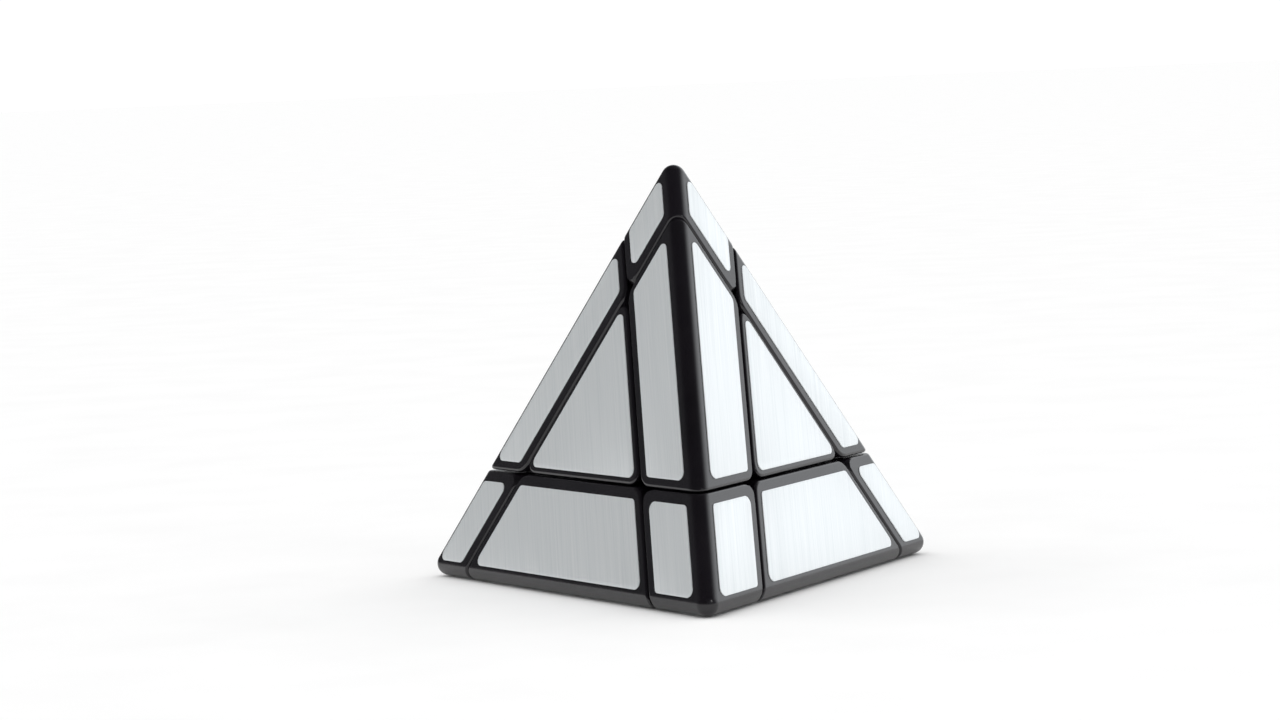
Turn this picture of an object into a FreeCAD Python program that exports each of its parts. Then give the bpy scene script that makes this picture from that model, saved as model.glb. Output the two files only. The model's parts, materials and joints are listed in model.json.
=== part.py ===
import FreeCAD, Part
import itertools
import math
import os

# A tetrahedral puzzle with four turning layers, one under each face. All the cuts
# lie at the same distance from the hub, but every layer has its own thickness, so
# each piece has its own shape. Millimetres, +Z up. The origin is on the table,
# under the hub, and the front edge of the tetrahedron points to -Y.

# ---- driving sizes ----
cut_distance = 3.85             # hub centre to each cut plane
base_layer_thickness = 20.0     # cut plane to the outer face, per layer
left_layer_thickness = 17.6
right_layer_thickness = 15.4
back_layer_thickness = 11.6

layer_gap = 0.25                # play between neighbouring pieces
outer_edge_radius = 2.2         # rounding of the tetrahedron's own edges
upright_radius = 2.4            # a piece's edges that run inwards, where two cuts meet
rim_radius = 0.6                # rounding of a piece where it meets a gap

film_thickness = 0.15           # the metallic film on every facelet
film_rim_at_cut = 2.05          # bare plastic between a cut and the film
film_rim_at_base_edge = 3.5     # the same between the edges round the base and the film
film_rim_at_front_edge = 4.1    # at the edge between the left and right faces
film_rim_at_back_edge = 3.15    # at the two edges that run up beside the back face
centre_film_rim = 1.55          # bare plastic round the film of a centre
film_corner_radius = 1.2

core_radius = 6.2               # the ball in the middle of the hub
core_clearance = 0.3            # ball to the feet that glide over it
foot_drop = 2.65                # how far a foot reaches under its neighbour
roof_wall = 1.95                # plastic left over a foot in the thinnest layer
neck_height = 4.0               # corner foot above its neck
shell_wall = 2.2                # wall of the hollow outer blocks

corner_peg_radius = 1.9         # the pegs that hold feet in their blocks
corner_peg_length = 8.0
edge_peg_radius = 2.4
edge_peg_length = 4.5
peg_root = 1.0                  # how deep a peg starts inside its own foot
peg_clearance = 0.05
socket_wall = 1.5

post_radius = 2.0               # the arms that the centres turn on
post_running_clearance = 0.06
post_above_floor = 0.7
centre_floor = 1.8              # floor of a centre, between ball and spring
spring_wire_radius = 0.25
spring_pitch = 0.776            # from one turn of a spring to the next
spring_to_post = 0.3
spring_end_play = 0.03
screw_shank_radius = 1.1
screw_thread_clearance = 0.02
screw_length = 7.0
screw_head_radius = 2.3
screw_head_height = 1.2
screw_recess_width = 0.6
screw_recess_depth = 0.7
screw_recess_span = 2.8
washer_rim = 0.1                # how far a washer reaches past its spring
washer_thickness = 0.4
washer_bore_clearance = 0.1
pocket_clearance = 0.25
head_to_cover = 1.5             # screw head to the cover over it
centre_lift_room = 0.75         # how far a centre can lift before its cover meets the screw
cover_rim = 0.85                # the plug over each screw pocket, past the pocket
cover_thickness = 1.4
cover_clearance = 0.05

# ---- sizes that follow ----
THICKNESS = {
    "base": base_layer_thickness,
    "left": left_layer_thickness,
    "right": right_layer_thickness,
    "back": back_layer_thickness,
}
FACES = list(THICKNESS)
FACE_DISTANCE = {face: cut_distance + THICKNESS[face] for face in FACES}
SKIN_DISTANCE = {face: FACE_DISTANCE[face] - film_thickness for face in FACES}
half_gap = layer_gap / 2

# The faces of a regular tetrahedron: their normals meet at a cosine of -1/3.
tilt_cos = 1 / 3
tilt_sin = math.sqrt(8) / 3
half_turn_cos = math.sqrt(1 / 3)      # a face normal against an edge's own direction
NORMAL = {
    "base": FreeCAD.Vector(0, 0, -1),
    "left": FreeCAD.Vector(-tilt_sin * math.sqrt(3) / 2, -tilt_sin / 2, tilt_cos),
    "right": FreeCAD.Vector(tilt_sin * math.sqrt(3) / 2, -tilt_sin / 2, tilt_cos),
    "back": FreeCAD.Vector(0, tilt_sin, tilt_cos),
}
HUB = FreeCAD.Vector(0, 0, FACE_DISTANCE["base"])

# A foot's roof lies parallel to the thinnest face, a wall's thickness under it.
roof_distance = min(FACE_DISTANCE.values()) - roof_wall
foot_distance = cut_distance - foot_drop
reach = 4 * max(FACE_DISTANCE.values())           # clears the farthest corner
foot_zone_radius = 2 * roof_distance              # clears every foot
film_blank_radius = 3 * max(FACE_DISTANCE.values())   # clears a whole face, inside reach

centre_floor_top = core_radius + core_clearance + centre_floor
post_top = centre_floor_top + post_above_floor
cover_underside = min(SKIN_DISTANCE.values()) - cover_thickness
screw_head_top = cover_underside - head_to_cover
screw_head_bottom = screw_head_top - screw_head_height
washer_bottom = screw_head_bottom - washer_thickness
spring_radius = post_radius + spring_to_post + spring_wire_radius
washer_radius = spring_radius + spring_wire_radius + washer_rim
pocket_radius = washer_radius + pocket_clearance
cover_radius = pocket_radius + cover_rim

edge_split = (roof_distance + cut_distance + half_gap) / (2 * half_turn_cos)

EDGES = {"%s_%s_edge" % pair: list(pair) for pair in itertools.combinations(FACES, 2)}
CORNERS = {
    "top_corner": ["left", "right", "back"],
    "front_corner": ["base", "left", "right"],
    "left_corner": ["base", "left", "back"],
    "right_corner": ["base", "right", "back"],
}

overshoot = 1.0                 # how far a cutting shape runs past the face it opens
tolerance = 1e-4                # two lengths this near are the same
PROBES = (0, 0.37, 1)           # places along an edge at which it is tested


def aimed(shape, direction):
    """Turn a shape made around +Z towards a direction from the hub."""
    turn = FreeCAD.Rotation(FreeCAD.Vector(0, 0, 1), direction)
    shape.Placement = FreeCAD.Placement(HUB, turn).multiply(shape.Placement)
    return shape


def rod(direction, radius, start, end):
    length = end - start
    return aimed(Part.makeCylinder(radius, length, FreeCAD.Vector(0, 0, start)), direction)


def beyond(direction, distance):
    """Everything farther than a distance along a direction."""
    corner = FreeCAD.Vector(-reach, -reach, distance)
    return aimed(Part.makeBox(2 * reach, 2 * reach, reach, corner), direction)


def write(name, shape):
    shape.exportStep("parts/%s.step" % name)


# ---- the space that each layer sweeps ----
def roof_radius(height):
    """Radius about a layer's axis at which a foot's roof meets a height."""
    return (roof_distance + height * tilt_cos) / tilt_sin


def layer_boss(face, clearance):
    """The part of a layer's space that dips below its cut plane, near the hub."""
    low = foot_distance + clearance
    high = cut_distance + clearance
    low_radius = roof_radius(low) - clearance
    high_radius = roof_radius(high) - clearance
    cone = Part.makeCone(low_radius, high_radius, high - low, FreeCAD.Vector(0, 0, low))
    return aimed(cone, NORMAL[face])


def layer_space(face, clearance):
    """A body of revolution about the layer's axis, so that the layer can turn."""
    return beyond(NORMAL[face], cut_distance + clearance).fuse(layer_boss(face, clearance))


def core_ball(radius):
    return Part.makeSphere(radius, HUB)


# ---- outer blocks with rounded rims ----
def sharp_block(inside, skin, cut_play):
    """The part of the tetrahedron inside some layers and outside the others."""
    block = Part.makeSphere(reach, HUB)
    for face in FACES:
        block = block.cut(beyond(NORMAL[face], SKIN_DISTANCE[face] - skin))
    for face in FACES:
        if face in inside:
            block = block.common(beyond(NORMAL[face], cut_distance + cut_play))
        else:
            block = block.cut(beyond(NORMAL[face], cut_distance - cut_play))
    return block


def height_over(face, point):
    return NORMAL[face].dot(point.sub(HUB))


def edge_points(edge):
    first, last = edge.ParameterRange
    return [edge.valueAt(first + share * (last - first)) for share in PROBES]


def lies_on(edge, face, distance):
    return all(abs(height_over(face, p) - distance) < tolerance for p in edge_points(edge))


def edges_where(block, inside, cuts, skins):
    """The block's edges on so many cut planes and, at least, so many outer faces."""
    found = []
    for edge in block.Edges:
        on_cuts = 0
        for face in FACES:
            side = half_gap if face in inside else -half_gap
            on_cuts += lies_on(edge, face, cut_distance + side)
        on_skins = sum(lies_on(edge, face, SKIN_DISTANCE[face]) for face in inside)
        if on_cuts == cuts and on_skins >= skins:
            found.append(edge)
    return found


def rounded_block(inside):
    block = sharp_block(inside, 0, half_gap)
    for radius, cuts, skins in (
        (outer_edge_radius, 0, 2), (upright_radius, 2, 0), (rim_radius, 1, 0)
    ):
        edges = edges_where(block, inside, cuts, skins)
        if edges:
            block = block.makeFillet(radius, edges)
    return block


def clear_of_bosses(block, inside):
    """Cut the hollows in a block where its neighbours' feet pass."""
    for face in FACES:
        if face not in inside:
            block = block.cut(layer_boss(face, -half_gap))
    return block


def foot_space(inside):
    """What is left near the hub for one piece, clear of the ball in the middle."""
    space = core_ball(foot_zone_radius)
    for face in FACES:
        if face in inside:
            space = space.common(layer_space(face, half_gap))
        else:
            space = space.cut(layer_space(face, -half_gap))
    return space.cut(core_ball(core_radius + core_clearance))


def make_block_and_foot(name, inside, direction, split, peg_radius, peg_length):
    """A hollow outer block, and the foot that is pegged into its inner end."""
    peg_end = split + peg_length
    block = clear_of_bosses(rounded_block(inside), inside)
    block = block.common(beyond(direction, split))
    cavity = sharp_block(inside, shell_wall, half_gap + shell_wall)
    cavity = cavity.common(beyond(direction, split + shell_wall))
    cavity = cavity.cut(rod(direction, peg_radius + socket_wall, split, peg_end))
    block = block.cut(cavity)
    block = block.cut(rod(direction, peg_radius + peg_clearance, split - overshoot, peg_end))
    foot = foot_space(inside).cut(beyond(direction, split))
    foot = foot.fuse(rod(direction, peg_radius, split - peg_root, peg_end - peg_clearance))
    write(name, block)
    write(name + "_foot", foot.removeSplitter())


def make_edges():
    for name, inside in EDGES.items():
        direction = NORMAL[inside[0]].add(NORMAL[inside[1]]).normalize()
        make_block_and_foot(
            name, inside, direction, edge_split, edge_peg_radius, edge_peg_length
        )


# ---- corners ----
corner_hook_end = roof_radius(cut_distance) * tilt_sin + cut_distance * tilt_cos
corner_split = corner_hook_end + neck_height


def make_corners():
    for name, inside in CORNERS.items():
        far = [face for face in FACES if face not in inside][0]
        direction = NORMAL[far].negative()
        make_block_and_foot(
            name, inside, direction, corner_split, corner_peg_radius, corner_peg_length
        )


# ---- centres ----
def make_centre(face):
    axis = NORMAL[face]
    skin = SKIN_DISTANCE[face]
    body = clear_of_bosses(rounded_block([face]), [face])
    stalk = foot_space([face]).cut(beyond(axis, cut_distance + half_gap + rim_radius))
    body = body.fuse(stalk).cut(core_ball(core_radius + core_clearance))
    body = body.cut(rod(axis, post_radius + post_running_clearance, 0, post_top))
    body = body.cut(rod(axis, pocket_radius, centre_floor_top, skin))
    seat = skin - cover_thickness
    body = body.cut(rod(axis, cover_radius + cover_clearance, seat, skin + overshoot))
    write(face + "_centre", body)
    plug_radius = pocket_radius - cover_clearance
    plug_end = seat - head_to_cover + centre_lift_room
    cover = rod(axis, cover_radius, seat, skin)
    write(face + "_screw_cover", cover.fuse(rod(axis, plug_radius, plug_end, seat)))


# ---- the core and what hangs the centres on it ----
def make_core():
    core = core_ball(core_radius)
    for face in FACES:
        core = core.fuse(rod(NORMAL[face], post_radius, 0, post_top))
    for face in FACES:
        pilot = screw_shank_radius + screw_thread_clearance
        core = core.cut(rod(NORMAL[face], pilot, screw_head_bottom - screw_length, post_top))
    write("core_spider", core)


def make_screws():
    screws = []
    for face in FACES:
        axis = NORMAL[face]
        tip = screw_head_bottom - screw_length
        head = rod(axis, screw_head_radius, screw_head_bottom, screw_head_top)
        screw = head.fuse(rod(axis, screw_shank_radius, tip, screw_head_bottom))
        for span, width in ((screw_recess_span, screw_recess_width),
                            (screw_recess_width, screw_recess_span)):
            corner = FreeCAD.Vector(-span / 2, -width / 2, screw_head_top - screw_recess_depth)
            screw = screw.cut(aimed(Part.makeBox(span, width, screw_recess_depth, corner), axis))
        screws.append(screw)
    write("centre_screws", Part.makeCompound(screws))


def make_washers():
    washers = []
    for face in FACES:
        axis = NORMAL[face]
        ring = rod(axis, washer_radius, washer_bottom, screw_head_bottom)
        bore = screw_shank_radius + washer_bore_clearance
        washers.append(ring.cut(rod(axis, bore, washer_bottom, screw_head_bottom)))
    write("spring_washers", Part.makeCompound(washers))


def make_spring(face):
    low = centre_floor_top + spring_end_play + spring_wire_radius
    high = washer_bottom - spring_end_play - spring_wire_radius
    helix = Part.makeLongHelix(spring_pitch, high - low, spring_radius)
    start = FreeCAD.Vector(spring_radius, 0, 0)
    wire = Part.Wire(Part.makeCircle(spring_wire_radius, start, FreeCAD.Vector(0, 1, 0)))
    coil = Part.Wire(helix).makePipeShell([wire], True, True)
    coil.translate(FreeCAD.Vector(0, 0, low))
    write(face + "_centre_spring", aimed(coil, NORMAL[face]))


# ---- metallic film on the facelets ----
def edge_rim(face, other):
    """Bare plastic between the film and the edge that two faces share."""
    if "base" in (face, other):
        return film_rim_at_base_edge
    if "back" in (face, other):
        return film_rim_at_back_edge
    return film_rim_at_front_edge


def film_lines(face, inside):
    """Each line is a direction in the face and the farthest distance along it."""
    lines = []
    rim = film_rim_at_cut if inside else centre_film_rim
    for other in FACES:
        if other == face:
            continue
        along = NORMAL[other].add(NORMAL[face] * tilt_cos).normalize()
        lean = FACE_DISTANCE[face] * tilt_cos
        cut = (cut_distance + lean) / tilt_sin
        edge = (FACE_DISTANCE[other] + lean) / tilt_sin
        if other in inside:
            lines.append((along, edge - edge_rim(face, other)))
            lines.append((along.negative(), -cut - rim))
        else:
            lines.append((along, cut - rim))
    return lines


def make_film(face, inside):
    """A thin plate with rounded corners, bounded by lines in the face."""
    plate = rod(NORMAL[face], film_blank_radius, SKIN_DISTANCE[face], FACE_DISTANCE[face])
    for along, distance in film_lines(face, inside):
        plate = plate.cut(beyond(along, distance))
    upright = []
    for edge in plate.Edges:
        ends = edge_points(edge)
        rise = height_over(face, ends[2]) - height_over(face, ends[0])
        if abs(abs(rise) - film_thickness) < tolerance:
            upright.append(edge)
    return plate.makeFillet(film_corner_radius, upright)


def make_films():
    pieces = {face + "_centre": [face] for face in FACES}
    pieces.update(EDGES)
    pieces.update(CORNERS)
    under = []
    for name, inside in pieces.items():
        films = []
        for face in inside:
            film = make_film(face, [other for other in inside if other != face])
            if face == "base" and len(inside) > 1:
                under.append(film)
            else:
                films.append(film)
        write(name + "_film", Part.makeCompound(films))
    write("underside_films", Part.makeCompound(under))


os.makedirs("parts", exist_ok=True)
make_core()
make_screws()
make_washers()
for face_name in FACES:
    make_spring(face_name)
    make_centre(face_name)
make_edges()
make_corners()
make_films()
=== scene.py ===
import itertools
import json
import math
import bmesh
import bpy
from mathutils import Matrix, Vector


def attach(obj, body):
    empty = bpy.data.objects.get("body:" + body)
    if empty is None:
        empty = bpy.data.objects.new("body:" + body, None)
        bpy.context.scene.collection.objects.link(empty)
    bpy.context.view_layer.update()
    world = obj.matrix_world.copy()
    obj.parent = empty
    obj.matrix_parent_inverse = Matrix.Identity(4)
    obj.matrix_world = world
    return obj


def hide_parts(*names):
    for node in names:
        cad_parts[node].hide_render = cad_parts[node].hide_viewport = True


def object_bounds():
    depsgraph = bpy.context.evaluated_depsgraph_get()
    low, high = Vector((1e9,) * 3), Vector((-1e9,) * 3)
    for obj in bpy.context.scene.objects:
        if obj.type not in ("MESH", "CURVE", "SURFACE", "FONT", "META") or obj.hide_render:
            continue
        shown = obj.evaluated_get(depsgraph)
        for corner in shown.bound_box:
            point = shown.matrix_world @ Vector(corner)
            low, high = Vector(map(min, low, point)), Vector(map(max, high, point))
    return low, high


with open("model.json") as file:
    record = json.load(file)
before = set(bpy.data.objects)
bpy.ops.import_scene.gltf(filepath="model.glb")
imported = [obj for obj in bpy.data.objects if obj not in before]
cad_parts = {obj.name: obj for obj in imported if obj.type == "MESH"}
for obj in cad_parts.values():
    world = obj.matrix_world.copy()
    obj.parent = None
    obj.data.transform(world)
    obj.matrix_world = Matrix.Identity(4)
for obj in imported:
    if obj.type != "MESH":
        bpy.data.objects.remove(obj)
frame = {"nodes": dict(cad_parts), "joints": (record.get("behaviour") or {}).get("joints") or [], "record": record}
cad_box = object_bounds()

# ---- core spider ----
# The core is a ball with four arms, one towards each face, and it is moulded in one
# piece from black nylon. It sits in the middle of the puzzle, where the feet of all the
# outer pieces glide over the ball.


def linear(code):
    """An sRGB hex colour as the linear values that a shader takes."""
    shares = [int(code[start:start + 2], 16) / 255 for start in (0, 2, 4)]
    return [s / 12.92 if s <= 0.04045 else ((s + 0.055) / 1.055) ** 2.4 for s in shares] + [1]


def add(tree, kind, settings, links=None, stops=()):
    """Adds one node: its settings, what feeds its sockets, and a ramp's two colours."""
    node = tree.nodes.new("ShaderNode" + kind)
    for key, value in settings.items():
        if isinstance(key, str) and hasattr(node, key):
            setattr(node, key, value)
        else:
            node.inputs[key].default_value = value
    for key, source in (links or {}).items():
        tree.links.new(source, node.inputs[key])
    for index, (position, code) in enumerate(stops):
        node.color_ramp.elements[index].position = position
        node.color_ramp.elements[index].color = linear(code)
    return node


def finish(name, settings):
    """An empty material with its main shader, which the caller then feeds."""
    material = bpy.data.materials.new(name)
    material.use_nodes = True
    tree = material.node_tree
    tree.nodes.clear()
    shader = add(tree, "BsdfPrincipled", settings)
    add(tree, "OutputMaterial", {}, {"Surface": shader.outputs["BSDF"]})
    return material, tree, shader


def per_metre(size_mm):
    """The noise scale that gives a feature of that size in millimetres."""
    return 1000 / size_mm


def dress(node, material):
    """Gives a carried-over piece of the frame its finish."""
    piece = frame["nodes"][node]
    piece.data.materials.clear()
    piece.data.materials.append(material)


# Moulded nylon: black with a soft sheen, very slightly mottled where the melt flowed.
nylon, tree, shader = finish("moulded_black_nylon", {"IOR": 1.53, "Metallic": 0})
place = add(tree, "TexCoord", {}).outputs["Object"]
flow = add(tree, "TexNoise", {"Scale": per_metre(5), "Detail": 3}, {"Vector": place})
grain = add(tree, "TexNoise", {"Scale": per_metre(0.25), "Detail": 4}, {"Vector": place})
tint = add(tree, "ValToRGB", {}, {"Fac": flow.outputs["Fac"]}, ((0.3, "1B1B1D"), (0.7, "262628")))
tree.links.new(tint.outputs["Color"], shader.inputs["Base Color"])
soft = add(tree, "MapRange", {"To Min": 0.34, "To Max": 0.5}, {"Value": flow.outputs["Fac"]})
tree.links.new(soft.outputs["Result"], shader.inputs["Roughness"])
skin = add(tree, "Bump", {"Strength": 0.25, "Distance": 0.00002}, {"Height": grain.outputs["Fac"]})
tree.links.new(skin.outputs["Normal"], shader.inputs["Normal"])
dress("core_spider", nylon)

# ---- screws, washers and springs ----
# Each centre is held on its arm by a steel screw with a cross recess. A washer under the
# head presses a small coil spring against the floor of the centre.

# Zinc plate on steel: bright grey metal with cloudy patches a millimetre or two across.
zinc, tree, shader = finish("zinc_plated_steel", {"Metallic": 1})
place = add(tree, "TexCoord", {}).outputs["Object"]
cloud = add(tree, "TexNoise", {"Scale": per_metre(1.5), "Detail": 5}, {"Vector": place})
tint = add(tree, "ValToRGB", {}, {"Fac": cloud.outputs["Fac"]}, ((0.3, "A9ACAF"), (0.7, "C9CBCD")))
tree.links.new(tint.outputs["Color"], shader.inputs["Base Color"])
worn = add(tree, "MapRange", {"To Min": 0.22, "To Max": 0.42}, {"Value": cloud.outputs["Fac"]})
tree.links.new(worn.outputs["Result"], shader.inputs["Roughness"])
dress("centre_screws", zinc)
dress("spring_washers", zinc)

# Drawn spring wire: darker steel, polished by the die, with faint marks a fifth of a
# millimetre across.
wire, tree, shader = finish("drawn_spring_steel", {"Metallic": 1})
place = add(tree, "TexCoord", {}).outputs["Object"]
draw = add(tree, "TexNoise", {"Scale": per_metre(0.2), "Detail": 2}, {"Vector": place})
tint = add(tree, "ValToRGB", {}, {"Fac": draw.outputs["Fac"]}, ((0.3, "77797C"), (0.7, "96989B")))
tree.links.new(tint.outputs["Color"], shader.inputs["Base Color"])
sleek = add(tree, "MapRange", {"To Min": 0.18, "To Max": 0.3}, {"Value": draw.outputs["Fac"]})
tree.links.new(sleek.outputs["Result"], shader.inputs["Roughness"])
FACES = ("base", "left", "right", "back")
for face in FACES:
    dress(face + "_centre_spring", wire)

# ---- feet and screw covers ----
# A foot is pegged into the inner end of each edge and corner and hooks under its
# neighbours. The covers are round plugs that close the screw pockets under the film.
# Both are black ABS, left with the fine matt texture of a spark-eroded mould.

# Spark-eroded ABS: matt black, with a fine sandy skin of about a third of a millimetre.
matt_abs, tree, shader = finish("spark_eroded_black_abs", {"IOR": 1.54, "Metallic": 0})
place = add(tree, "TexCoord", {}).outputs["Object"]
pits = add(tree, "TexVoronoi", {"Scale": per_metre(0.35)}, {"Vector": place})
tone = add(tree, "TexNoise", {"Scale": per_metre(4), "Detail": 3}, {"Vector": place})
tint = add(tree, "ValToRGB", {}, {"Fac": tone.outputs["Fac"]}, ((0.3, "171618"), (0.7, "201F22")))
tree.links.new(tint.outputs["Color"], shader.inputs["Base Color"])
rough = add(tree, "MapRange", {"To Min": 0.42, "To Max": 0.6}, {"Value": tone.outputs["Fac"]})
tree.links.new(rough.outputs["Result"], shader.inputs["Roughness"])
skin = add(tree, "Bump", {"Strength": 0.4, "Distance": 0.00003}, {"Height": pits.outputs["Distance"]})
tree.links.new(skin.outputs["Normal"], shader.inputs["Normal"])

CORNERS = ("top_corner", "front_corner", "left_corner", "right_corner")
EDGES = tuple("%s_%s_edge" % pair for pair in itertools.combinations(FACES, 2))
for piece in EDGES + CORNERS:
    dress(piece + "_foot", matt_abs)
for face in FACES:
    dress(face + "_screw_cover", matt_abs)

# ---- edge and corner blocks ----
# The outer blocks are moulded from black ABS in a polished mould. Where two faces of
# the tetrahedron meet they are rounded like a finger's edge, and every rim along a cut
# is rounded a little, so that neighbours pass without catching.
outer_rounding = 0.0022
upright_rounding = 0.0024
rim_rounding = 0.0006
arc_steps = 12
upright_steps = 9
rim_steps = 4
turned_steps = 96
hair = 0.00005
overshoot = 0.001
same_point = 1e-6
on_plane = 1e-7
just_behind = 1e-8

joints = {joint["name"]: joint for joint in frame["joints"]}
hub = Vector(joints["base_layer_turn"]["pos_m"])
NORMAL = {face: Vector(joints[face + "_centre_lift"]["axis"]).normalized() for face in FACES}


def span(node, direction):
    """How far from the hub a node starts and ends, along a direction."""
    heights = [direction.dot(point.co - hub) for point in frame["nodes"][node].data.vertices]
    return min(heights), max(heights)


def girth(node, direction, low, high):
    """The largest radius about a line from the hub, between two heights."""
    radii = []
    for point in frame["nodes"][node].data.vertices:
        offset = point.co - hub
        height = direction.dot(offset)
        if low <= height <= high:
            radii.append((offset - direction * height).length)
    return max(radii)


def layers_of(node):
    """The layers that a piece belongs to: it lies wholly on their side of the hub."""
    return [face for face in FACES if span(node, NORMAL[face])[0] > 0]


cut_above = span("base_left_edge", NORMAL["base"])[0]
cut_below = span("base_left_edge", NORMAL["right"])[1]
layer_gap = cut_above - cut_below


def solid_behind(planes):
    """The closed solid that lies behind every plane, each a normal and a distance."""
    mesh = bmesh.new()
    for three in itertools.combinations(planes, 3):
        rows = Matrix([normal for normal, distance in three])
        if not math.isclose(rows.determinant(), 0, abs_tol=1e-6):
            point = rows.inverted() @ Vector([distance for normal, distance in three])
            if all(normal.dot(point) < distance + on_plane for normal, distance in planes):
                mesh.verts.new(hub + point)
    bmesh.ops.remove_doubles(mesh, verts=mesh.verts, dist=same_point)
    bmesh.ops.convex_hull(mesh, input=mesh.verts)
    flat = math.radians(0.5)
    bmesh.ops.dissolve_limit(mesh, angle_limit=flat, verts=mesh.verts, edges=mesh.edges)
    bmesh.ops.recalc_face_normals(mesh, faces=mesh.faces)
    return mesh


def turned(direction, profile):
    """A closed solid turned about a line from the hub, from heights and radii."""
    mesh = bmesh.new()
    side = direction.orthogonal().normalized()
    across = direction.cross(side)
    rings = []
    for height, radius in profile:
        ring = []
        for step in range(turned_steps):
            angle = 2 * math.pi * step / turned_steps
            spoke = side * math.cos(angle) + across * math.sin(angle)
            ring.append(mesh.verts.new(hub + direction * height + spoke * radius))
        rings.append(ring)
    for low, high in zip(rings, rings[1:]):
        for step in range(turned_steps):
            after = (step + 1) % turned_steps
            mesh.faces.new((low[step], low[after], high[after], high[step]))
    mesh.faces.new(rings[0])
    mesh.faces.new(rings[-1])
    bmesh.ops.recalc_face_normals(mesh, faces=mesh.faces)
    return mesh


def faces_like(face, normals):
    """Whether a face looks the same way as one of the normals."""
    aligned = 0.9999
    return any(face.normal.dot(normal) > aligned for normal in normals)


def pull_back(point, planes):
    """How far to go against each normal, to bring a point onto all of the planes."""
    excess = [normal.dot(point) - distance for normal, distance in planes]
    if len(planes) < 2:
        return excess
    overlap = Matrix([[one.dot(other) for other, far in planes] for one, near in planes])
    return overlap.inverted() @ Vector(excess)


def nearest_behind(point, planes):
    """The nearest point to a point that lies behind all of two or three planes."""
    best = None
    for count in range(len(planes) + 1):
        for chosen in itertools.combinations(planes, count):
            moved = point.copy()
            for (normal, distance), share in zip(chosen, pull_back(point, chosen)):
                moved -= normal * share
            if all(normal.dot(moved) < distance + just_behind for normal, distance in planes):
                if best is None or (moved - point).length < (best - point).length:
                    best = moved
    return best


def round_outer_edges(mesh, skins):
    """Bevels the edges where outer faces meet, then makes the bevel truly round."""
    normals = [normal for normal, distance in skins]
    outer = [e for e in mesh.edges if all(faces_like(f, normals) for f in e.link_faces)]
    reach = outer_rounding * math.tan(outer[0].calc_face_angle() / 2)
    bmesh.ops.bevel(
        mesh, geom=outer, offset=reach, offset_type="OFFSET", segments=arc_steps,
        profile=0.5, affect="EDGES", clamp_overlap=False,
    )
    drawn_in = [(normal, distance - outer_rounding) for normal, distance in skins]
    for vert in mesh.verts:
        point = vert.co - hub
        core = nearest_behind(point, drawn_in)
        if (point - core).length > hair:
            vert.co = hub + core + (point - core).normalized() * outer_rounding


def slice_off(mesh, normal, distance):
    """Cuts away what lies beyond a plane, and closes the cut with one flat face."""
    cut = bmesh.ops.bisect_plane(
        mesh, geom=mesh.verts[:] + mesh.edges[:] + mesh.faces[:], dist=on_plane,
        plane_co=hub + normal * distance, plane_no=normal, clear_outer=True,
    )
    rim = [part for part in cut["geom_cut"] if isinstance(part, bmesh.types.BMEdge)]
    bmesh.ops.contextual_create(mesh, geom=rim)
    bmesh.ops.recalc_face_normals(mesh, faces=mesh.faces)


def round_uprights(mesh, cuts):
    """Rounds the edges that run inwards, where two cuts meet."""
    uprights = [e for e in mesh.edges if all(faces_like(f, cuts) for f in e.link_faces)]
    for edge in uprights:
        if not edge.is_valid:
            continue
        reach = upright_rounding * math.tan(edge.calc_face_angle() / 2)
        bmesh.ops.bevel(
            mesh, geom=[edge], offset=reach, offset_type="OFFSET", segments=upright_steps,
            profile=0.5, affect="EDGES", clamp_overlap=False,
        )
    mesh.normal_update()


def mark_rims(mesh, skins, cuts):
    """Marks where an outer surface meets a cut, with the width that its rounding needs."""
    normals = [normal for normal, distance in skins]
    steepest, bluntest = math.radians(110), math.radians(30)
    slanting = 0.45
    weight = mesh.edges.layers.float.new("bevel_weight_edge")
    widest = rim_rounding * math.tan(steepest / 2)
    outward = {}
    for face in mesh.faces:
        steepness = max(face.normal.dot(normal) for normal in normals)
        outward[face] = steepness > slanting and not faces_like(face, cuts)
    for edge in mesh.edges:
        one, other = edge.link_faces
        angle = edge.calc_face_angle()
        if outward[one] != outward[other] and angle > bluntest:
            edge[weight] = min(1, rim_rounding * math.tan(angle / 2) / widest)
    return widest


def as_object(name, mesh):
    """Turns a mesh in the making into an object of the scene."""
    data = bpy.data.meshes.new(name)
    mesh.to_mesh(data)
    mesh.free()
    made = bpy.data.objects.new(name, data)
    bpy.context.scene.collection.objects.link(made)
    return made


def carve(name, block, rim_width, cutters):
    """Bevels the marked rims, takes the cutters away and keeps the plain result."""
    rough_block = as_object(name + "_rough", block)
    rim = rough_block.modifiers.new("rim", "BEVEL")
    rim.limit_method = "WEIGHT"
    rim.width = rim_width
    rim.segments = rim_steps
    rim.use_clamp_overlap = False
    tools = [as_object(name + "_tool", cutter) for cutter in cutters]
    for tool in tools:
        away = rough_block.modifiers.new("away", "BOOLEAN")
        away.operation = "DIFFERENCE"
        away.solver = "EXACT"
        away.object = tool
    bpy.context.view_layer.update()
    ready = rough_block.evaluated_get(bpy.context.evaluated_depsgraph_get())
    data = bpy.data.meshes.new_from_object(ready)
    data.name = name
    for used in [rough_block] + tools:
        bpy.data.objects.remove(used)
    made = bpy.data.objects.new(name, data)
    bpy.context.scene.collection.objects.link(made)
    data.shade_smooth()
    data.set_sharp_from_angle(angle=math.radians(40))
    even = made.modifiers.new("even_shading", "WEIGHTED_NORMAL")
    even.keep_sharp = True
    return made


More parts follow.
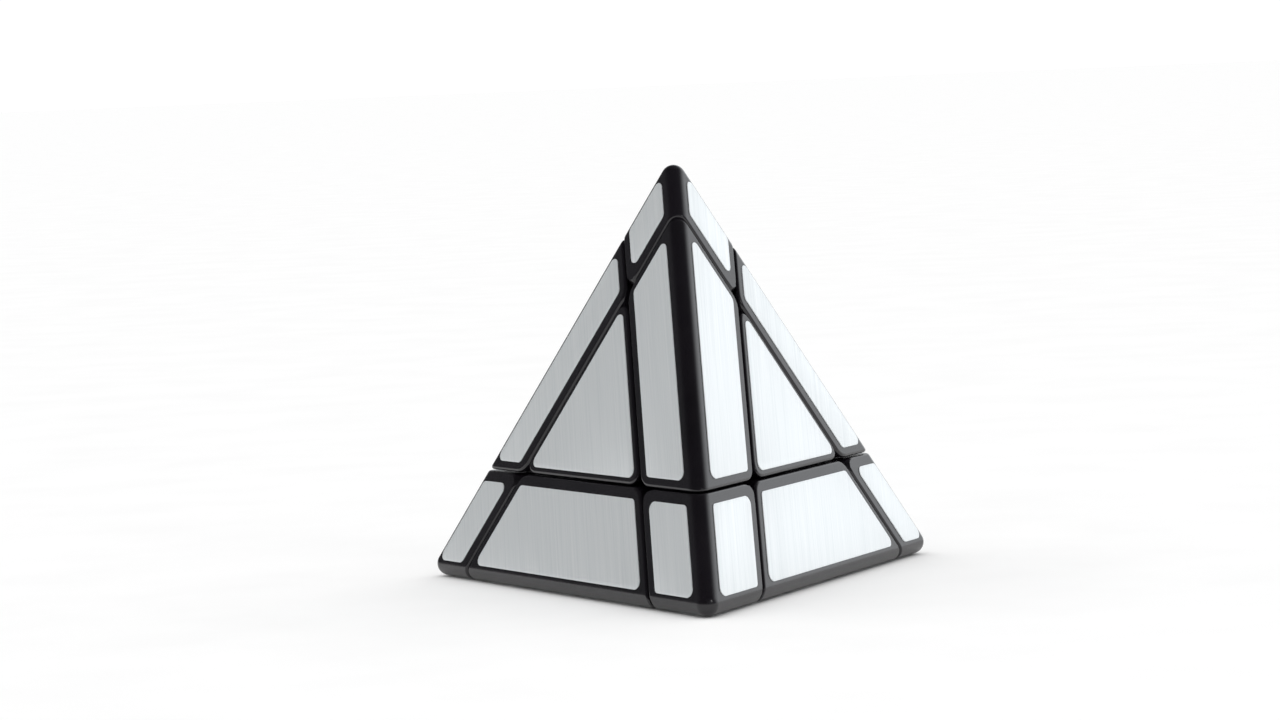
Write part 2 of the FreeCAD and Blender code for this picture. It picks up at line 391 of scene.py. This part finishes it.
def foot_hollow(face):
    """The ring-shaped room that the feet of a layer sweep under its neighbours."""
    axis = NORMAL[face]
    feet = [p + "_foot" for p in EDGES + CORNERS if face in layers_of(p)]
    low = min(span(foot, axis)[0] for foot in feet)
    low_radius = max(girth(foot, axis, low, low + hair) for foot in feet)
    between = -axis.dot(NORMAL[[f for f in FACES if f != face][0]])
    slope = between / math.sqrt(1 - between ** 2)
    ends = low - layer_gap, cut_above
    return turned(axis, [(end, low_radius + slope * (end - low) + layer_gap) for end in ends])


# Gloss ABS: near black with a cool violet cast. The polished mould gives long soft
# reflections, broken only by faint flow ripples and hairline handling scratches.
gloss_abs, tree, shader = finish("polished_black_abs", {"IOR": 1.54, "Metallic": 0})
place = add(tree, "TexCoord", {}).outputs["Object"]
melt = add(tree, "TexNoise", {"Scale": per_metre(14), "Detail": 2}, {"Vector": place})
smear = add(tree, "TexNoise", {"Scale": per_metre(3), "Detail": 4}, {"Vector": place})
stretch = add(tree, "Mapping", {"Scale": (1, 1, 9), "Rotation": (0.5, 0.3, 0)}, {"Vector": place})
hairlines = add(tree, "TexNoise", {"Scale": per_metre(1.2), "Detail": 6}, {
    "Vector": stretch.outputs["Vector"],
})
tint = add(tree, "ValToRGB", {}, {"Fac": melt.outputs["Fac"]}, ((0.3, "0E0C10"), (0.7, "161318")))
tree.links.new(tint.outputs["Color"], shader.inputs["Base Color"])
sheen = add(tree, "MapRange", {"To Min": 0.13, "To Max": 0.3}, {"Value": smear.outputs["Fac"]})
tree.links.new(sheen.outputs["Result"], shader.inputs["Roughness"])
ripple = add(tree, "Bump", {"Strength": 0.25, "Distance": 0.00004}, {"Height": smear.outputs["Fac"]})
scratch = add(tree, "Bump", {"Strength": 0.12, "Distance": 0.00001}, {
    "Height": hairlines.outputs["Fac"], "Normal": ripple.outputs["Normal"],
})
tree.links.new(scratch.outputs["Normal"], shader.inputs["Normal"])

bodies = frame["record"]["behaviour"]["bodies"]
BODY = {node: body for body, nodes in bodies.items() for node in nodes}


def place_block(node, block):
    """Puts a finished block in the place of its node, in gloss black."""
    block.data.materials.clear()
    block.data.materials.append(gloss_abs)
    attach(block, BODY[node])
    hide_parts(node)


for node in EDGES + CORNERS:
    inside = layers_of(node)
    outside = [face for face in FACES if face not in inside]
    if len(inside) == 2:
        outward = (NORMAL[inside[0]] + NORMAL[inside[1]]).normalized()
    else:
        outward = -NORMAL[outside[0]]
    split = span(node, outward)[0]
    skins = [(NORMAL[face], span(node, NORMAL[face])[1]) for face in inside]
    cuts = [(-NORMAL[face], -cut_above) for face in inside]
    if len(inside) == 2:
        cuts += [(NORMAL[face], cut_below) for face in outside]
    # The raw block is made too large towards the sides where it is cut off later.
    spare = [(NORMAL[face], 3 * cut_above) for face in outside]
    mesh = solid_behind(skins + spare)
    round_outer_edges(mesh, skins)
    for normal, distance in cuts + [(-outward, -split)]:
        slice_off(mesh, normal, distance)
    round_uprights(mesh, [normal for normal, distance in cuts])
    rim_width = mark_rims(mesh, skins, [normal for normal, distance in cuts] + [-outward])
    peg_end = span(node + "_foot", outward)[1]
    peg_radius = girth(node + "_foot", outward, split + hair, peg_end)
    socket_ends = split - overshoot, peg_end + hair
    socket = turned(outward, [(end, peg_radius + hair) for end in socket_ends])
    cutters = [foot_hollow(face) for face in outside] + [socket]
    place_block(node, carve(node + "_block", mesh, rim_width, cutters))

# ---- centres ----
# A centre is a three-sided block with a stalk that reaches down to the core ball. Its
# stepped bore holds the arm, the spring and the screw head, and the cover closes it.
cover_head = 0.0014

for face in FACES:
    node = face + "_centre"
    axis = NORMAL[face]
    others = [other for other in FACES if other != face]
    stalk_end, skin_height = span(node, axis)
    cuts = [(NORMAL[other], cut_below) for other in others]
    mesh = solid_behind(cuts + [(axis, skin_height), (-axis, -stalk_end)])
    round_uprights(mesh, [normal for normal, distance in cuts])
    rim_width = mark_rims(mesh, [(axis, skin_height)], [normal for normal, distance in cuts] + [-axis])
    points = [point.co - hub for point in frame["nodes"][node].data.vertices]
    ball_radius = min(point.length for point in points)
    bore_radius = min((point - axis * axis.dot(point)).length for point in points)
    cover = face + "_screw_cover"
    plug_end, cover_top = span(cover, axis)
    pocket_floor = span(face + "_centre_spring", axis)[0] - hair
    pocket_radius = girth(cover, axis, plug_end, plug_end + hair) + hair
    cover_radius = girth(cover, axis, cover_top - hair, cover_top) + hair
    seat = cover_top - cover_head
    bore = turned(axis, [
        (0, bore_radius), (pocket_floor, bore_radius), (pocket_floor, pocket_radius),
        (seat, pocket_radius), (seat, cover_radius), (skin_height + overshoot, cover_radius),
    ])
    ball = bmesh.new()
    bmesh.ops.create_icosphere(
        ball, subdivisions=5, radius=ball_radius, matrix=Matrix.Translation(hub),
    )
    cutters = [foot_hollow(other) for other in others] + [ball, bore]
    place_block(node, carve(node + "_block", mesh, rim_width, cutters))

# ---- metallic film ----
# Every facelet carries a die-cut piece of self-adhesive metallised film, inset from the
# rims, with round corners. The film is brushed in one direction before it is cut.
film_rounding = 0.0012
film_edge = 0.00004
edge_middle = 0.3 * film_edge
corner_steps = 10
# Millimetres from the streaks of one plate to those of the next, so that no two match.
shift_across, shift_along = 40, 90

# Brushed aluminium film: bright silver, with fine straight streaks that spread light
# across them. A clear matt lacquer lies over the metal, so half of what comes back is the
# metal's reflection and half is a plain pale grey. The fine streaks are about a seventh of
# a millimetre apart, and wider bands of about half a millimetre let them show.
film, tree, shader = finish("brushed_aluminium_film", {"Metallic": 0.5, "Anisotropic": 0.6})
flat_place = add(tree, "UVMap", {"uv_map": "streaks"}).outputs["UV"]
fine_map = add(tree, "Mapping", {"Scale": (7, 0.05, 1)}, {"Vector": flat_place})
fine = add(tree, "TexNoise", {"Scale": 1, "Detail": 6, "Roughness": 0.7}, {
    "Vector": fine_map.outputs["Vector"],
})
wide_map = add(tree, "Mapping", {"Scale": (1.8, 0.012, 1)}, {"Vector": flat_place})
wide = add(tree, "TexNoise", {"Scale": 1, "Detail": 3}, {"Vector": wide_map.outputs["Vector"]})
both = add(tree, "Mix", {"data_type": "FLOAT", 0: 0.4}, {
    2: fine.outputs["Fac"], 3: wide.outputs["Fac"],
})
tint = add(tree, "ValToRGB", {}, {"Fac": both.outputs[0]}, ((0.35, "E3E8EA"), (0.65, "F4F7F8")))
tree.links.new(tint.outputs["Color"], shader.inputs["Base Color"])
grip = add(tree, "MapRange", {"From Min": 0.3, "From Max": 0.7, "To Min": 0.46, "To Max": 0.34}, {
    "Value": both.outputs[0],
})
tree.links.new(grip.outputs["Result"], shader.inputs["Roughness"])
groove = add(tree, "Bump", {"Strength": 0.3, "Distance": 0.000004}, {"Height": both.outputs[0]})
tree.links.new(groove.outputs["Normal"], shader.inputs["Normal"])
tangent = add(tree, "Tangent", {"direction_type": "UV_MAP", "uv_map": "streaks"})
tree.links.new(tangent.outputs["Tangent"], shader.inputs["Tangent"])

# The streaks run along one edge of each face: up the front edge on the left and right.
STREAK = {
    "base": NORMAL["left"].cross(NORMAL["base"]).normalized(),
    "left": NORMAL["left"].cross(NORMAL["right"]).normalized(),
    "right": NORMAL["left"].cross(NORMAL["right"]).normalized(),
    "back": NORMAL["back"].cross(NORMAL["right"]).normalized(),
}


def plates(node):
    """The separate thin plates of a film node: the face each lies on, and its points."""
    mesh = bmesh.new()
    mesh.from_mesh(frame["nodes"][node].data)
    bmesh.ops.remove_doubles(mesh, verts=mesh.verts, dist=same_point)
    mesh.verts.index_update()
    seen = set()
    found = []
    for first in mesh.verts:
        if first.index in seen:
            continue
        seen.add(first.index)
        front, points = [first], []
        while front:
            corner = front.pop()
            points.append(corner.co - hub)
            for edge in corner.link_edges:
                other = edge.other_vert(corner)
                if other.index not in seen:
                    seen.add(other.index)
                    front.append(other)
        depth = {}
        for face, normal in NORMAL.items():
            rise = [normal.dot(point) for point in points]
            depth[face] = max(rise) - min(rise)
        found.append((min(depth, key=depth.get), points))
    mesh.free()
    return found


def straight_sides(face, points, side, streak):
    """The straight sides of a plate, as outward angles and distances in its plane."""
    sides = []
    for other in FACES:
        if other == face:
            continue
        along = (NORMAL[other] - NORMAL[face] * NORMAL[face].dot(NORMAL[other])).normalized()
        for outward in (along, -along):
            reach = max(outward.dot(point) for point in points)
            crosswise = NORMAL[face].cross(outward)
            touching = [crosswise.dot(p) for p in points if outward.dot(p) > reach - same_point]
            if max(touching) - min(touching) > film_rounding:
                angle = math.atan2(outward.dot(streak), outward.dot(side))
                sides.append((angle, reach))
    return sorted(sides)


def corner_points(sides, inset):
    """The outline with its corners rounded, drawn in by an inset."""
    outline = []
    for (angle, reach), (next_angle, next_reach) in zip(sides, sides[1:] + sides[:1]):
        rows = Matrix([(math.cos(way), math.sin(way)) for way in (angle, next_angle)])
        middle = rows.inverted() @ Vector((reach - film_rounding, next_reach - film_rounding))
        sweep = (next_angle - angle) % (2 * math.pi)
        for step in range(corner_steps + 1):
            turn = angle + sweep * step / corner_steps
            outline.append(middle + Vector((math.cos(turn), math.sin(turn))) * (film_rounding - inset))
    return outline


def lay_film(node, name):
    """Lays the film of a node, with its place along the streaks in millimetres as UVs."""
    mesh = bmesh.new()
    streaks = mesh.loops.layers.uv.new("streaks")
    for count, (face, points) in enumerate(plates(node), start=1):
        normal, streak = NORMAL[face], STREAK[face]
        side = streak.cross(normal)
        low = min(normal.dot(point) for point in points)
        high = max(normal.dot(point) for point in points)
        sides = straight_sides(face, points, side, streak)
        levels = (
            (low, 0), (high - film_edge, 0), (high - edge_middle, edge_middle), (high, film_edge),
        )
        rings = [
            [
                mesh.verts.new(hub + normal * height + side * spot.x + streak * spot.y)
                for spot in corner_points(sides, inset)
            ]
            for height, inset in levels
        ]
        faces = [mesh.faces.new(rings[0]), mesh.faces.new(rings[-1])]
        for lower, upper in zip(rings, rings[1:]):
            for step in range(len(lower)):
                after = (step + 1) % len(lower)
                faces.append(mesh.faces.new((lower[step], lower[after], upper[after], upper[step])))
        for loop in [loop for made in faces for loop in made.loops]:
            spot = loop.vert.co - hub
            across, along = side.dot(spot) * 1000, streak.dot(spot) * 1000
            loop[streaks].uv = (across + shift_across * count, along + shift_along * count)
    bmesh.ops.recalc_face_normals(mesh, faces=mesh.faces)
    made = as_object(name, mesh)
    made.data.shade_smooth()
    made.data.set_sharp_from_angle(angle=math.radians(50))
    made.data.materials.append(film)
    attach(made, BODY[node])
    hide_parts(node)


for piece in [face + "_centre" for face in FACES] + list(EDGES + CORNERS):
    if piece + "_film" in frame["nodes"]:
        lay_film(piece + "_film", piece + "_foil")
lay_film("underside_films", "underside_foils")

# ---- floor and light ----
# The puzzle stands on a plain white table top that runs on as far as can be seen. A white
# room lights it softly from all round, and one small softbox in front to the right adds
# a glint on the rounded edges.
table_reach = 20
table = bmesh.new()
bmesh.ops.create_grid(table, x_segments=8, y_segments=8, size=table_reach)
floor = as_object("table_top", table)

# Coated board: white and matt, with a barely visible mottle.
board, tree, shader = finish("white_coated_board", {"Roughness": 1, "IOR": 1.4, "Specular IOR Level": 0})
place = add(tree, "TexCoord", {}).outputs["Object"]
mottle = add(tree, "TexNoise", {"Scale": per_metre(30), "Detail": 3}, {"Vector": place})
tint = add(tree, "ValToRGB", {}, {"Fac": mottle.outputs["Fac"]}, ((0.3, "F7F7F7"), (0.7, "FAFAFA")))
tree.links.new(tint.outputs["Color"], shader.inputs["Base Color"])
floor.data.materials.append(board)

softbox = bpy.data.lights.new("small_softbox", "AREA")
softbox.shape = "SQUARE"
softbox.size = 0.12
softbox.energy = 0.3
stand = bpy.data.objects.new("small_softbox", softbox)
stand.location = (0.5, -0.6, 0.35)
middle = (cad_box[0] + cad_box[1]) / 2
stand.rotation_euler = (middle - stand.location).to_track_quat("-Z", "Y").to_euler()
bpy.context.scene.collection.objects.link(stand)

# The room: white to look at, and an even white light on the table top and the plastic.
# What gloss and film reflect is a studio that is bright behind and to the right, dim to
# the left, and dark overhead and in front.
room = bpy.data.worlds.new("studio")
room.use_nodes = True
bpy.context.scene.world = room
tree = room.node_tree
tree.nodes.clear()
way = add(tree, "SeparateXYZ", {}, {0: add(tree, "TexCoord", {}).outputs["Generated"]})
side = add(tree, "MapRange", {
    "interpolation_type": "SMOOTHSTEP", "From Min": -0.4, "From Max": 0.6, "To Min": 0.12, "To Max": 1.55,
}, {"Value": way.outputs["X"]})
under = add(tree, "MapRange", {
    "interpolation_type": "SMOOTHSTEP", "From Min": 0.4, "From Max": 0.8, "To Min": 1, "To Max": 0.1,
}, {"Value": way.outputs["Z"]})
behind = add(tree, "MapRange", {
    "interpolation_type": "SMOOTHSTEP", "From Min": -0.4, "From Max": 0.3, "To Min": 0.12, "To Max": 1,
}, {"Value": way.outputs["Y"]})
wall = add(tree, "Math", {"operation": "MULTIPLY"}, {0: side.outputs[0], 1: behind.outputs[0]})
level = add(tree, "Math", {"operation": "MULTIPLY"}, {0: wall.outputs[0], 1: under.outputs[0]})
studio = add(tree, "Background", {"Color": linear("F4F7FA")}, {"Strength": level.outputs[0]})
glow = add(tree, "Background", {"Color": linear("FFFFFF"), "Strength": 1.05})
ray = add(tree, "LightPath", {})
mixed = add(tree, "MixShader", {}, {
    0: ray.outputs["Is Glossy Ray"], 1: glow.outputs[0], 2: studio.outputs[0],
})
add(tree, "OutputWorld", {}, {"Surface": mixed.outputs[0]})
bpy.context.scene.view_settings.view_transform = "Standard"

# ---- camera ----
# The camera stands in front of the puzzle, a little to the left and just above the table,
# and is tipped to one side by about two degrees. The long lens keeps the outline from
# spreading towards the viewer.
azimuth, elevation, roll = math.radians(-2.61), math.radians(4.06), math.radians(-2.35)
distance = 0.7411
aim = Vector((-0.0087, -0.0038, 0.0404))
backward = Vector((
    math.sin(azimuth) * math.cos(elevation),
    -math.cos(azimuth) * math.cos(elevation),
    math.sin(elevation),
))
level = (-backward).cross(Vector((0, 0, 1))).normalized()
upright = backward.cross(level)
right = level * math.cos(roll) + upright * math.sin(roll)
lens = bpy.data.cameras.new("camera")
lens.lens = 116.05
lens.sensor_width = 36
lens.clip_start = 0.05
lens.clip_end = 20
camera = bpy.data.objects.new("camera", lens)
turn = Matrix((right, backward.cross(right), backward)).transposed()
camera.matrix_world = Matrix.Translation(aim + backward * distance) @ turn.to_4x4()
bpy.context.scene.collection.objects.link(camera)
bpy.context.scene.camera = camera

bpy.context.view_layer.update()
